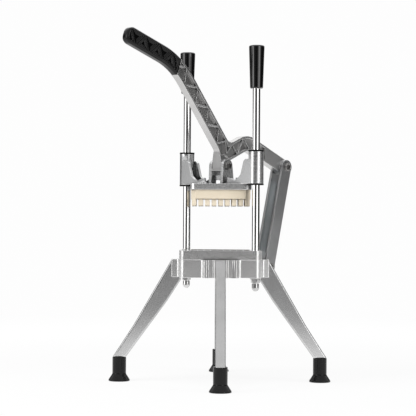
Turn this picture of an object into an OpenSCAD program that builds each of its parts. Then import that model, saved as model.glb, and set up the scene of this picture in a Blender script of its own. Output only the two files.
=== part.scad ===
// Lever-operated french fry cutter on four legs.
// Origin: on the floor, under the middle of the blade grid. +Z up, -Y towards the user, +X to their right.

/* [Cutting grid] */
// Distance from one fry cell to the next
cell_pitch = 9.525; // [8:0.125:13]
// Number of cells along each side of the grid
cell_count = 9; // [7:1:11]
// Thickness of a blade
blade_t = 0.9; // [0.5:0.1:1.4]
// Height of a blade
blade_h = 6; // [4:0.5:9]
// Width of one peg of the push block
peg_w = 6.7; // [5:0.1:6.9]
// Length of a peg below the block
peg_h = 9.9; // [6:0.1:12]

/* [Frame and base] */
// Width of the blade frame's rail around the grid
frame_rail_w = 15.8; // [14:0.2:20]
// Radius of the frame's corners, which wrap the rods
corner_r = 9; // [8:0.25:11]
// Height of the underside of the base above the floor
base_z = 151.9; // [110:0.1:220]
// Height of the base casting
base_h = 25.4; // [24:0.2:36]
// How far the leg pads stand out from the base
pad_out = 11.6; // [8:0.2:16]
// Width of a leg pad
pad_w = 47; // [40:0.5:56]

/* [Legs and feet] */
// Distance of a foot from the middle of the machine
foot_reach = 145.5; // [120:0.5:190]
// Thickness of a leg
leg_t = 14.4; // [12:0.1:18]
// Width of a leg at its foot
ankle_w = 19.3; // [16:0.1:22]
// Height of a rubber foot
foot_h = 35; // [26:0.5:50]
// Diameter of a rubber foot on the floor
foot_rim_d = 31; // [28:0.5:44]
// Diameter of a rubber foot at its top
foot_top_d = 20; // [18:0.2:24]

/* [Guide rods] */
// Diameter of a guide rod
rod_d = 11; // [8:0.1:12]
// Height of the top of the rod grips above the floor
rod_grip_top_z = 482.3; // [460:0.1:560]
// Length of a rod grip
rod_grip_h = 61.3; // [40:0.1:80]
// Diameter of a rod grip at its top
rod_grip_top_d = 22.2; // [20:0.1:28]
// Diameter of a rod grip at its bottom
rod_grip_foot_d = 18.5; // [16:0.1:19.5]

/* [Press head] */
// Travel of the head from its raised place to the blades
stroke = 71; // [50:1:75]
// Thickness of the push block above its pegs
block_h = 13.6; // [12:0.1:24]
// Thickness of the head's plate
plate_h = 8.5; // [6:0.1:14]
// Width of the head's plate
plate_w = 87.5; // [84:0.5:92]
// Outside diameter of a guide sleeve
sleeve_d = 21.5; // [19:0.1:24]
// Length of a guide sleeve
sleeve_h = 45.5; // [40:0.5:60]
// Thickness of a bushing's flange
flange_h = 2.2; // [1.5:0.1:3]
// Height of the lever pivot above the plate
pivot_up = 26.4; // [22:0.2:34]

/* [Lever] */
// Thickness of the lever arm
lever_t = 12; // [9:0.1:14]
// Depth of the lever arm above the pivot
lever_depth = 22.2; // [20:0.1:26]
// Slope of the arm above the pivot, in degrees
arm_slope = 51; // [45:0.5:56]
// Slope of the grip, in degrees
grip_slope = 18.9; // [10:0.1:30]
// Length of the arm from its knee to the grip's bend
arm_run = 150.5; // [120:0.5:200]
// Length of the grip from the bend to its end
grip_run = 101; // [80:0.5:140]
// Distance from the head pivot back to the link pivot
link_pivot_y = 130.5; // [120:0.5:140]
// Height of the link pivot above the head pivot
link_pivot_up = 2.2; // [0:0.1:6]
// Diameter of the pivot bolts
pin_d = 8; // [6:0.1:9]

/* [Link] */
// Distance from the middle of the machine back to the base pivot
base_pivot_y = 94; // [92:0.25:98]
// Height of the base pivot above the underside of the base
base_pivot_up = 13.1; // [11:0.1:15]
// Width of the link
link_w = 23; // [20:0.1:26]
// Thickness of the link's walls
link_wall = 3.8; // [2.5:0.1:4.5]
// Depth of the link
link_depth = 20.2; // [16:0.1:21]

/* [Hidden] */
$fn = 72;

// Fits
run_gap = 0.05;
seat_gap = 0.05;
side_gap = 0.2;
cut_over = 1;

// Blade frame and grid
blade_inset = 0.4;
blade_slot_run = 3;
grid_w = cell_pitch * cell_count;
frame_w = grid_w + 2 * frame_rail_w;
frame_h = 2 * blade_h + 3 * blade_inset;
frame_z = base_z + base_h;
frame_top_z = frame_z + frame_h;
upper_blade_z = frame_top_z - blade_inset - blade_h;
lower_blade_z = frame_z + blade_inset;
rod_x = (frame_w / 2 - corner_r) * sqrt(2);
rod_r = rod_d / 2;
rod_end_share = 0.72;
rod_end_r = rod_r * rod_end_share;
rod_places = [[-rod_x, 0], [rod_x, 0]];
frame_screw_d = 4;
frame_screw_head_d = 5.6;
frame_screw_head_h = 2.6;
frame_screw_depth = 12;
frame_screw_y = (frame_w / 2 - corner_r) * sqrt(2) + frame_screw_head_d / 2;

// Base casting
throat_gap = 2.3;
throat_w = grid_w + throat_gap;
pad_r = frame_w / 2 + pad_out;
pad_tip_r = 2.2;
pad_root_r = 8;
pad_flare = 5;
flute_in = 2.6;
flute_r = 1.6;
ridge_w = 4;
leg_land_w = leg_t + 2;
skirt_wall = 3.5;
deck_h = 6;
screw_boss_r = 6.5;
lug_r = 12;
lug_root_y = (throat_w / 2 + skirt_wall / 2) * sqrt(2);

// Legs and feet
leg_top_drop = 1.3;
leg_shelf_in = 13.3;
leg_shelf_h = 4.9;
leg_outer_knee_shares = [0.714, 0.411];
leg_inner_knee_shares = [0.076, 0.701];
leg_knee_r = 60;
leg_rise = base_z - foot_h;
leg_span = foot_reach - pad_r;
spigot_d = 12;
spigot_share = 0.7;
spigot_h = foot_h * spigot_share;
spigot_floor = foot_h - spigot_h;
leg_bolt_d = 8;
leg_bolt_head_d = 12.5;
leg_bolt_head_h = 5;
leg_bolt_grip = 10;
leg_bolt_r = pad_r - leg_shelf_in / 2;
leg_bolt_up = 14;
foot_rim_h = 2;
foot_flare_h = 8.4;

// Rods
rod_grip_z = rod_grip_top_z - rod_grip_h;
rod_grip_cap = 9;
rod_grip_lip = 1.6;
washer_d = 16;
washer_h = 1.6;
nut_hex_d = 13.6;
nut_hex_h = 5.6;
nut_dome_d = 11.4;
nut_cap_h = 17.5;
nut_wall = 3.5;

// Press head
block_gap = 2.4;
block_play = 0.7;
block_w = grid_w - block_play;
block_chamfer = 7;
block_z = frame_top_z + block_gap + stroke;
plate_z = block_z + block_h;
plate_top_z = plate_z + plate_h;
plate_corner_r = 8;
sleeve_r = sleeve_d / 2;
sleeve_z = plate_top_z;
bush_d = 14.5;
bush_run = 18;
flange_d = 22;
wing_t = 4;
wing_y = sleeve_r - wing_t;
wing_in_x = 22;
wing_floor_h = 4;
wing_floor_in = 15;
wing_height_shares = [0.21, 0.145, 0.1, 0.18, 0.275, 0.705, 0.77];
wing_x_shares = [0.04, 0.25, 0.315, 0.46, 0.575, 0.70, 0.77];
ear_gap = 18.6;
ear_t = 4.9;
ear_r = 9.7;
ear_leg_w = 10.2;
ear_arch_up = 9;
ear_arch_drop = 3;
ear_rear_flare = 2.6;
ear_web_t = 4;
ear_web_z = 6;
ear_web_top = 13;
ear_flare = 1;
set_screw_d = 5;
set_screw_l = 2.4;
set_screw_socket_d = 2.5;
push_screw_r = 34;
push_screw_d = 5;
push_screw_head_d = 7.6;
push_screw_head_h = 3;
push_screw_depth = 9;

// Pivots
pivot_z = plate_top_z + pivot_up;
pin_r = pin_d / 2;
pin_head_d = 12.6;
pin_head_h = 3.6;
pin_socket_d = 7.6;
pin_socket_depth = 2.4;
pin_nut_d = 11.6;
pin_nut_h = 3.6;
pin_tail = 4.4;
hub_r = 8.4;
hub_w = ear_gap - 2 * side_gap;
heel_up = 4;
heel_drop = 2.8;
heel_step = 1.1;
heel_h = 7.4;
heel_r = 8.6;
hub_rim_r = 16.5;
hub_rim_w = 2;
hub_recess = 1.6;

// Lever
knee_y = 2.4;
knee_z = 26.6;
knee_r = 20;
neck_up = 9;
bend_r = 105;
grip_depth = 24.2;
grip_t = 13.4;
tang_t = 7;
tang_depth = 18;
tang_end_gap = 7;
grip_end_r = 10.5;
grip_start = -4;
rim_w = 3.2;
pocket_depth = 2.8;
rib_w = 2;
rib_pitch = 34.6;
rib_first = 30.2;
rib_lean_share = 0.45;
rib_count = 5;
hump_y = 50.1;
hump_z = 36.7;
hump_r = 25.7;
rear_depth = 22.3;
rear_end_depth = 21.6;
rear_root_y = 2;
rear_root_z = 15.6;
rear_rib_ys = [18, 29, 42, 56, 70, 83];
fork_rib_nodes = [[3.8, 36.2], [6.5, 19]];
valley_r = 12;
valley_steps = 8;
panel_y = 87;
end_boss_r = 10.8;
grip_pocket_depth = 2;
grip_rib_pitch = 27.5;
grip_rib_first = 0.5;
grip_rib_count = 4;

// Link
link_gap = link_w - 2 * link_wall;
end_boss_w = link_gap - 2 * side_gap;
link_ear_r = 10.8;
link_web_t = 3.6;
link_web_top = 20;
link_web_foot = 23;
link_dy = link_pivot_y - base_pivot_y;
base_pivot_z = base_z + base_pivot_up;
link_pivot_z = pivot_z + link_pivot_up;
link_len = norm([link_dy, link_pivot_z - base_pivot_z]);
link_lean = atan2(link_dy, link_pivot_z - base_pivot_z);
slot_run = 6.9;
slot_play = 1.1;
slot_lift = 0.41;

// Two-dimensional helpers
function unit(v) = v / norm(v);
function left_of(v) = [-v[1], v[0]];
function along(angle) = [cos(angle), sin(angle)];
function cross2(a, b) = a[0] * b[1] - a[1] * b[0];
function meeting(p, d, q, e) = p + d * cross2(q - p, e) / cross2(d, e);
function mix(a, b, share) = a + (b - a) * share;
function reversed(list) = [for (i = [len(list) - 1:-1:0]) list[i]];
function turn_between(a, b) = atan2(cross2(a, b), a * b);

// Points of the arc of radius r that rounds corner b between a and c, each with the direction of travel
function corner_track(a, b, c, r, steps) =
    let (d0 = unit(b - a), d1 = unit(c - b), turn = turn_between(d0, d1),
         side = turn < 0 ? -1 : 1, reach = r * tan(abs(turn) / 2), start = b - d0 * reach,
         centre = start + left_of(d0) * side * r)
    r == 0 || turn == 0 ? [[b, d0], [b, d1]] :
    [for (i = [0:steps])
        let (bearing = atan2(d0[1], d0[0]) + turn * i / steps, dir = along(bearing))
        [centre - left_of(dir) * side * r, dir]];

// Closed outline with each corner rounded by its own radius
function rounded(points, radii, steps = 8) =
    let (n = len(points))
    [for (i = [0:n - 1])
        each [for (s = corner_track(points[(i + n - 1) % n], points[i], points[(i + 1) % n], radii[i],
                                    radii[i] == 0 ? 1 : steps)) s[0]]];

// Open centre line with rounded corners, as a list of [point, direction]
function track(points, radii, steps = 14) =
    let (n = len(points))
    concat([[points[0], unit(points[1] - points[0])]],
           [for (i = [1:1:n - 2])
               each corner_track(points[i - 1], points[i], points[i + 1], radii[i - 1], steps)],
           [[points[n - 1], unit(points[n - 1] - points[n - 2])]]);

// Closed outline of a bar along a track, whose half depth goes from h0 to h1
function bar_outline(line, h0, h1) =
    let (p0 = line[0][0], reach = norm(line[len(line) - 1][0] - p0),
         halves = [for (s = line) mix(h0, h1, norm(s[0] - p0) / reach)])
    concat([for (i = [0:len(line) - 1]) line[i][0] + left_of(line[i][1]) * halves[i]],
           reversed([for (i = [0:len(line) - 1]) line[i][0] - left_of(line[i][1]) * halves[i]]));

module strip(a, b, w) {
    polygon([a + left_of(unit(b - a)) * w / 2, a - left_of(unit(b - a)) * w / 2,
             b - left_of(unit(b - a)) * w / 2, b + left_of(unit(b - a)) * w / 2]);
}

// Turns the square pieces so that their faces look at the legs
module squared() {
    rotate([0, 0, 45]) children();
}

// Stands a (Y, Z) outline up as a plate of thickness t, centred on X = 0
module side_plate(t) {
    rotate([90, 0, 90]) translate([0, 0, -t / 2]) linear_extrude(t) children();
}

module rounded_square(w, r) {
    square([w, w - 2 * r], center = true);
    square([w - 2 * r, w], center = true);
    for (x = [-1, 1], y = [-1, 1]) translate([x * (w / 2 - r), y * (w / 2 - r)]) circle(r);
}

module hex_prism(d, h) {
    cylinder(d = d, h = h, $fn = 6);
}

// Base casting: a square box open below, with four fluted leg pads and a lug for the link
function pad_side(s) = [
    [frame_w / 2, -s * (pad_w / 2 + pad_flare)],
    [pad_r, -s * pad_w / 2],
    [pad_r, -s * (pad_w / 2 - ridge_w)],
    [pad_r - flute_in, -s * (pad_w / 2 - ridge_w - flute_in)],
    [pad_r - flute_in, -s * (leg_land_w / 2 + flute_in)],
    [pad_r, -s * leg_land_w / 2]
];
pad_side_radii = [pad_root_r, pad_tip_r, flute_r, flute_r, flute_r, flute_r];
pad_points = concat(pad_side(1), reversed(pad_side(-1)));
pad_radii = concat(pad_side_radii, reversed(pad_side_radii));

function turned(p, quarter) = [p[0] * cos(90 * quarter) - p[1] * sin(90 * quarter),
                               p[0] * sin(90 * quarter) + p[1] * cos(90 * quarter)];
base_points = [for (q = [0:3]) each concat([turned([frame_w / 2, -frame_w / 2], q)],
                                           [for (p = pad_points) turned(p, q)])];
base_radii = [for (q = [0:3]) each concat([corner_r], pad_radii)];

module lug_slot() {
    for (y = [0, slot_run - slot_play])
        translate([base_pivot_y + y + slot_play / 2, base_pivot_z + slot_lift]) circle(pin_r + slot_play);
    translate([base_pivot_y + slot_play / 2, base_pivot_z + slot_lift - pin_r - slot_play])
        square([slot_run - slot_play, pin_d + 2 * slot_play]);
}

// Space under the deck, left open around the bosses for the rods, screws and legs
module base_cavity() {
    difference() {
        union() {
            rounded_square(frame_w - 2 * skirt_wall, corner_r - skirt_wall);
            for (q = [0, 90]) rotate([0, 0, q])
                square([2 * (pad_r - flute_in - skirt_wall), pad_w - 2 * skirt_wall], center = true);
        }
        square(throat_w + 2 * skirt_wall, center = true);
        for (q = [0, 90]) rotate([0, 0, q]) square([2 * pad_r, leg_land_w], center = true);
        for (x = [-1, 1], y = [-1, 1])
            translate([x * (frame_w / 2 - corner_r), y * (frame_w / 2 - corner_r)])
                circle(x == y ? screw_boss_r : corner_r);
    }
}

module base_lug() {
    tip_y = base_pivot_y + slot_run / 2;
    side_plate(end_boss_w) {
        translate([lug_root_y, base_pivot_z - lug_r]) square([tip_y - lug_root_y, 2 * lug_r]);
        translate([tip_y, base_pivot_z]) circle(lug_r);
    }
}

module base_casting() color("silver")
    difference() {
        union() {
            difference() {
                squared() translate([0, 0, base_z]) linear_extrude(base_h)
                    polygon(rounded(base_points, base_radii));
                squared() translate([0, 0, base_z - cut_over]) linear_extrude(base_h - deck_h + cut_over)
                    base_cavity();
                squared() translate([-throat_w / 2, -throat_w / 2, base_z - cut_over])
                    cube([throat_w, throat_w, base_h + 2 * cut_over]);
            }
            base_lug();
        }
        for (p = rod_places) translate([p[0], p[1], base_z - cut_over])
            cylinder(r = rod_r + seat_gap, h = base_h + 2 * cut_over);
        for (a = [45:90:315]) rotate([0, 0, a]) translate([leg_bolt_r, 0, base_z - cut_over])
            cylinder(d = leg_bolt_d + 2 * seat_gap, h = leg_bolt_up + cut_over);
        for (y = [-frame_screw_y, frame_screw_y]) translate([0, y, frame_z - frame_screw_depth])
            cylinder(d = frame_screw_d + 2 * seat_gap, h = frame_screw_depth + cut_over);
        side_plate(link_w) lug_slot();
    }

// Legs: flat tapered castings that hook under the pads and stand in rubber feet
function leg_point(shares) = [pad_r + leg_span * shares[0], foot_h + leg_rise * shares[1]];
leg_points = [
    [pad_r, base_z], [pad_r, frame_z - leg_top_drop],
    leg_point(leg_outer_knee_shares), [foot_reach + ankle_w / 2, foot_h],
    [foot_reach - ankle_w / 2, foot_h], leg_point(leg_inner_knee_shares),
    [pad_r - leg_shelf_in, base_z - leg_shelf_h], [pad_r - leg_shelf_in, base_z]
];
leg_radii = [0, 0, leg_knee_r, 0, 0, leg_knee_r, 0, 0];

module leg(angle) color("gainsboro")
    rotate([0, 0, angle]) difference() {
        union() {
            rotate([90, 0, 0]) translate([0, 0, -leg_t / 2]) linear_extrude(leg_t)
                polygon(rounded(leg_points, leg_radii));
            translate([foot_reach, 0, spigot_floor]) cylinder(d = spigot_d, h = spigot_h);
        }
        translate([leg_bolt_r, 0, base_z - leg_bolt_grip])
            cylinder(d = leg_bolt_d + 2 * seat_gap, h = leg_bolt_grip + cut_over);
        translate([leg_bolt_r, 0, base_z - leg_bolt_grip - leg_rise])
            cylinder(d = leg_bolt_head_d + 2 * seat_gap, h = leg_rise);
    }

module front_left_leg() { leg(225); }
module front_right_leg() { leg(315); }
module rear_left_leg() { leg(135); }
module rear_right_leg() { leg(45); }

module leg_bolts() color("lightslategray")
    for (a = [45:90:315]) rotate([0, 0, a]) translate([leg_bolt_r, 0, base_z - leg_bolt_grip]) {
        translate([0, 0, -leg_bolt_head_h]) hex_prism(leg_bolt_head_d, leg_bolt_head_h);
        cylinder(d = leg_bolt_d, h = leg_bolt_grip + leg_bolt_up - cut_over);
    }

// Rubber foot: a sleeve that flares to a flat rim, with a blind socket for the leg
module foot(angle) color("dimgray")
    rotate([0, 0, angle]) translate([foot_reach, 0, 0]) difference() {
        rotate_extrude() polygon([
            [0, 0], [foot_rim_d / 2, 0], [foot_rim_d / 2, foot_rim_h],
            [foot_top_d / 2, foot_rim_h + foot_flare_h], [foot_top_d / 2, foot_h], [0, foot_h]]);
        translate([0, 0, spigot_floor]) cylinder(d = spigot_d + 2 * seat_gap, h = foot_h);
    }

module front_left_foot() { foot(225); }
module front_right_foot() { foot(315); }
module rear_left_foot() { foot(135); }
module rear_right_foot() { foot(45); }

// Blade frame with a slot for both ends of every blade
blade_offsets = [for (i = [1:cell_count - 1]) (i - cell_count / 2) * cell_pitch];
blade_l = grid_w + 2 * blade_slot_run;

module blade_set(z, t, l, h) {
    for (u = blade_offsets) translate([u - t / 2, -l / 2, z]) cube([t, l, h]);
}

module blade_frame() color("darkgray")
    difference() {
        squared() difference() {
            translate([0, 0, frame_z]) linear_extrude(frame_h) rounded_square(frame_w, corner_r);
            translate([-grid_w / 2, -grid_w / 2, frame_z - cut_over])
                cube([grid_w, grid_w, frame_h + 2 * cut_over]);
            blade_set(upper_blade_z - seat_gap, blade_t + 2 * seat_gap, blade_l + 2 * seat_gap,
                      blade_h + blade_inset + cut_over);
            rotate([0, 0, 90]) blade_set(lower_blade_z - seat_gap, blade_t + 2 * seat_gap,
                                         blade_l + 2 * seat_gap, blade_h + 2 * seat_gap);
        }
        for (p = rod_places) translate([p[0], p[1], frame_z - cut_over])
            cylinder(r = rod_r + seat_gap, h = frame_h + 2 * cut_over);
        for (y = [-frame_screw_y, frame_screw_y]) translate([0, y, frame_z - cut_over])
            cylinder(d = frame_screw_d + 2 * seat_gap, h = frame_h + 2 * cut_over);
    }

module upper_blades() color("lightgray") squared()
    blade_set(upper_blade_z, blade_t, blade_l, blade_h);
module lower_blades() color("lightgray") squared()
    rotate([0, 0, 90]) blade_set(lower_blade_z, blade_t, blade_l, blade_h);

module blade_frame_screws() color("white")
    for (y = [-frame_screw_y, frame_screw_y]) translate([0, y, 0]) {
        translate([0, 0, frame_z - frame_screw_depth + cut_over])
            cylinder(d = frame_screw_d, h = frame_screw_depth - cut_over + frame_h);
        translate([0, 0, frame_top_z]) cylinder(d = frame_screw_head_d, h = frame_screw_head_h);
    }

// Guide rods with their grips above and cap nuts below
module guide_rod(x) color("whitesmoke")
    translate([x, 0, base_z]) {
        cylinder(r = rod_r, h = rod_grip_top_z - rod_grip_cap - base_z);
        translate([0, 0, nut_wall - washer_h - nut_cap_h])
            cylinder(r = rod_end_r, h = washer_h + nut_cap_h - nut_wall + cut_over);
    }
module left_guide_rod() { guide_rod(-rod_x); }
module right_guide_rod() { guide_rod(rod_x); }

module rod_grip(x) color("black")
    translate([x, 0, rod_grip_z]) difference() {
        rotate_extrude() polygon([
            [0, 0], [rod_grip_foot_d / 2 - rod_grip_lip, 0], [rod_grip_foot_d / 2, rod_grip_lip],
            [rod_grip_top_d / 2, rod_grip_h - rod_grip_lip],
            [rod_grip_top_d / 2 - rod_grip_lip, rod_grip_h], [0, rod_grip_h]]);
        translate([0, 0, -cut_over])
            cylinder(r = rod_r + seat_gap, h = rod_grip_h - rod_grip_cap + cut_over + seat_gap);
    }
module left_rod_grip() { rod_grip(-rod_x); }
module right_rod_grip() { rod_grip(rod_x); }

module rod_washers() color("gray")
    for (p = rod_places) translate([p[0], p[1], base_z - washer_h]) difference() {
        cylinder(d = washer_d, h = washer_h);
        translate([0, 0, -cut_over]) cylinder(r = rod_end_r + seat_gap, h = washer_h + 2 * cut_over);
    }

module rod_nuts() color("silver")
    for (p = rod_places) translate([p[0], p[1], base_z - washer_h]) difference() {
        union() {
            translate([0, 0, -nut_hex_h]) hex_prism(nut_hex_d, nut_hex_h);
            translate([0, 0, nut_dome_d / 2 - nut_cap_h]) {
                cylinder(d = nut_dome_d, h = nut_cap_h - nut_dome_d / 2);
                sphere(d = nut_dome_d);
            }
        }
        translate([0, 0, nut_wall - nut_cap_h - seat_gap]) cylinder(r = rod_end_r + seat_gap, h = nut_cap_h);
    }

// Press head: plate, two guide sleeves on flared wings, and a clevis for the lever
wing_outline = concat(
    [[wing_in_x, 0]],
    [for (i = [0:len(wing_x_shares) - 1])
        [mix(wing_in_x, rod_x, wing_x_shares[i]), sleeve_h * wing_height_shares[i]]],
    [[rod_x, sleeve_h * wing_height_shares[len(wing_x_shares) - 1]], [rod_x, 0]]);

module wing() {
    for (y = [-wing_y - wing_t, wing_y])
        translate([0, y + wing_t, plate_top_z]) rotate([90, 0, 0]) linear_extrude(wing_t)
            polygon(wing_outline);
    translate([rod_x - sleeve_r - wing_floor_in, -sleeve_r, plate_top_z])
        cube([sleeve_r + wing_floor_in, sleeve_d, wing_floor_h]);
    translate([rod_x, 0, sleeve_z]) cylinder(r = sleeve_r, h = sleeve_h);
}

ear_outline = [
    [-ear_r - ear_flare, 0], [-ear_r - ear_flare + ear_leg_w, 0],
    [-ear_r + ear_leg_w, ear_arch_up], [ear_r + ear_rear_flare, ear_arch_up - ear_arch_drop],
    [ear_r, pivot_up], [-ear_r, pivot_up]
];

module clevis() {
    for (s = [-1, 1]) translate([s * (ear_gap + ear_t) / 2, 0, plate_top_z]) side_plate(ear_t) {
        polygon(ear_outline);
        translate([0, pivot_up]) circle(ear_r);
    }
    translate([-ear_gap / 2 - ear_t / 2, ear_leg_w - ear_flare - ear_r - ear_web_t, plate_top_z + ear_web_z])
        cube([ear_gap + ear_t, ear_web_t, ear_web_top - ear_web_z]);
}

push_screw_places = [[push_screw_r, 0], [-push_screw_r, 0], [0, push_screw_r], [0, -push_screw_r]];

module head_casting() color("silver")
    difference() {
        union() {
            squared() translate([0, 0, plate_z]) linear_extrude(plate_h)
                rounded_square(plate_w, plate_corner_r);
            for (a = [0, 180]) rotate([0, 0, a]) wing();
            clevis();
        }
        for (p = rod_places) translate([p[0], p[1], sleeve_z - cut_over])
            cylinder(d = bush_d + 2 * seat_gap, h = sleeve_h + 2 * cut_over);
        for (s = [-1, 1]) translate([s * rod_x, 0, sleeve_z + sleeve_h / 2]) rotate([0, -90 * s, 0])
            cylinder(d = set_screw_d + 2 * seat_gap, h = sleeve_r + cut_over);
        for (p = push_screw_places) translate([p[0], p[1], plate_z - cut_over])
            cylinder(d = push_screw_d + 2 * seat_gap, h = plate_h + 2 * cut_over);
        translate([-ear_gap / 2 - ear_t - cut_over, 0, pivot_z]) rotate([0, 90, 0])
            cylinder(r = pin_r + seat_gap, h = ear_gap + 2 * ear_t + 2 * cut_over);
    }

// Flanged bushing, flange at z = 0 and its barrel going up
module bushing() {
    difference() {
        union() {
            translate([0, 0, -flange_h]) cylinder(d = flange_d, h = flange_h);
            cylinder(d = bush_d, h = bush_run);
        }
        translate([0, 0, -flange_h - cut_over])
            cylinder(r = rod_r + run_gap, h = flange_h + bush_run + 2 * cut_over);
    }
}

module upper_bushings() color("black")
    for (p = rod_places) translate([p[0], p[1], sleeve_z + sleeve_h]) mirror([0, 0, 1]) bushing();
module lower_bushings() color("black")
    for (p = rod_places) translate([p[0], p[1], sleeve_z]) bushing();

module sleeve_set_screws() color("gray")
    for (s = [-1, 1]) translate([s * rod_x, 0, sleeve_z + sleeve_h / 2]) rotate([0, -90 * s, 0])
        translate([0, 0, bush_d / 2 + seat_gap]) difference() {
            cylinder(d = set_screw_d, h = set_screw_l);
            translate([0, 0, set_screw_l / 2]) hex_prism(set_screw_socket_d, set_screw_l);
        }

// Push block: one solid with a square peg for each cell of the grid
block_outline = [
    for (q = [0:3]) each [turned([block_w / 2, -block_w / 2 + block_chamfer], q),
                          turned([block_w / 2, block_w / 2 - block_chamfer], q)]
];
peg_offsets = [for (i = [0:cell_count - 1]) (i - (cell_count - 1) / 2) * cell_pitch];

module push_block() color("wheat")
    difference() {
        squared() {
            translate([0, 0, block_z]) linear_extrude(block_h) polygon(block_outline);
            translate([0, 0, block_z - peg_h]) linear_extrude(peg_h) intersection() {
                polygon(block_outline);
                for (u = peg_offsets, v = peg_offsets)
                    translate([u, v]) square(peg_w, center = true);
            }
        }
        for (p = push_screw_places) translate([p[0], p[1], plate_z - push_screw_depth])
            cylinder(d = push_screw_d + 2 * seat_gap, h = push_screw_depth + cut_over);
    }

module push_block_screws() color("gray")
    for (p = push_screw_places) translate([p[0], p[1], plate_top_z]) {
        translate([0, 0, -plate_h - push_screw_depth + cut_over])
            cylinder(d = push_screw_d, h = plate_h + push_screw_depth - cut_over);
        cylinder(d = push_screw_head_d, h = push_screw_head_h);
    }

// Lever, drawn in the (Y, Z) plane around the head pivot
knee = [knee_y, knee_z];
bend = knee + along(180 - arm_slope) * arm_run;
grip_end = bend + along(180 - grip_slope) * grip_run;
arm_foot = [knee_y, neck_up];
front_track = track([arm_foot, knee, bend, grip_end], [knee_r, bend_r]);
hump = [hump_y, hump_z];
link_pivot = [link_pivot_y, link_pivot_up];
rear_track = track([[rear_root_y, rear_root_z], hump, link_pivot], [hump_r]);
grip_dir = along(180 - grip_slope);

// Fillet in the valley between the arm and the rear arm
arm_back = knee - left_of(along(180 - arm_slope)) * lever_depth / 2;
rise_dir = unit(hump - [rear_root_y, rear_root_z]);
rise_top = hump + left_of(rise_dir) * rear_depth / 2;
valley = meeting(arm_back, along(180 - arm_slope), rise_top, rise_dir);
valley_arc = corner_track(valley + along(180 - arm_slope) * arm_run, valley, valley + rise_dir * arm_run,
                          valley_r, valley_steps);
valley_outline = concat([valley], [for (s = valley_arc) s[0]]);
valley_out = unit(along(180 - arm_slope) + rise_dir);
valley_centre = valley + valley_out * valley_r / abs(cross2(valley_out, rise_dir));

module lever_outline() {
    polygon(valley_outline);
    polygon(bar_outline(front_track, lever_depth / 2, lever_depth / 2));
    polygon(bar_outline(rear_track, rear_depth / 2, rear_end_depth / 2));
    translate(link_pivot) circle(rear_end_depth / 2);
    circle(hub_r);
    polygon([[-hub_r, 0], [hub_r, 0],
             [knee_y + lever_depth / 2, neck_up], [knee_y - lever_depth / 2, neck_up]]);
}

// Half plane beyond the line where the grip starts, or a little further out
module grip_zone(inset = 0) {
    translate(bend) rotate([0, 0, -grip_slope])
        translate([-2 * grip_run, -grip_run]) square([2 * grip_run - grip_start - inset, 2 * grip_run]);
}

function arm_node(run, side) = knee + along(180 - arm_slope) * run
    - left_of(along(180 - arm_slope)) * side * (lever_depth / 2 - rim_w / 2);
function rear_node(y, side) =
    let (on_rise = y < hump_y, share = on_rise ? (y - rear_root_y) / (hump_y - rear_root_y)
                                              : (y - hump_y) / (link_pivot_y - hump_y),
         p = on_rise ? mix([rear_root_y, rear_root_z], hump, share) : mix(hump, link_pivot, share))
    p + [0, side * (rear_depth / 2 - rim_w / 2)];

arm_rib_nodes = [for (k = [0:rib_count]) each [
    arm_node(rib_first + rib_pitch * (k - rib_lean_share), -1), arm_node(rib_first + rib_pitch * k, 1)]];
rear_rib_nodes = concat(
    [arm_rib_nodes[0]], fork_rib_nodes,
    [for (i = [0:len(rear_rib_ys) - 1]) rear_node(rear_rib_ys[i], i % 2 == 0 ? 1 : -1)]);

module zigzag(nodes, w) {
    for (i = [0:len(nodes) - 2]) strip(nodes[i], nodes[i + 1], w);
}

module lever_pockets() {
    difference() {
        union() {
            polygon(bar_outline(front_track, lever_depth / 2 - rim_w, lever_depth / 2 - rim_w));
            polygon(bar_outline(rear_track, rear_depth / 2 - rim_w, rear_end_depth / 2 - rim_w));
        }
        circle(hub_rim_r);
        translate([panel_y, -link_pivot_y]) square(2 * link_pivot_y);
        translate(link_pivot) circle(end_boss_r);
        translate(valley_centre) circle(valley_r + rim_w);
        zigzag(arm_rib_nodes, rib_w);
        zigzag(rear_rib_nodes, rib_w);
        grip_zone();
    }
}

module both_sides(t, depth) {
    for (s = [-1, 1]) translate([s * (t / 2 - depth / 2 + cut_over / 2), 0, 0])
        side_plate(depth + cut_over) children();
}

// Heel below the arm: its front face widens to the hub's width and ends in a small step
heel_y = knee_y - lever_depth / 2;

module lever_heel() {
    rotate([90, 0, 0]) linear_extrude(-heel_y)
        polygon([[-lever_t / 2, knee_z - heel_up], [-hub_w / 2, heel_up], [-hub_w / 2, -heel_drop],
                 [hub_w / 2, -heel_drop], [hub_w / 2, heel_up], [lever_t / 2, knee_z - heel_up]]);
    side_plate(hub_w)
        polygon([[heel_y, -heel_drop], [heel_y - heel_step, -heel_drop - heel_step],
                 [heel_y - heel_step, -heel_h], [heel_y + heel_step, -heel_r], [0, -heel_r], [0, 0],
                 [heel_y, 0]]);
}

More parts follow.
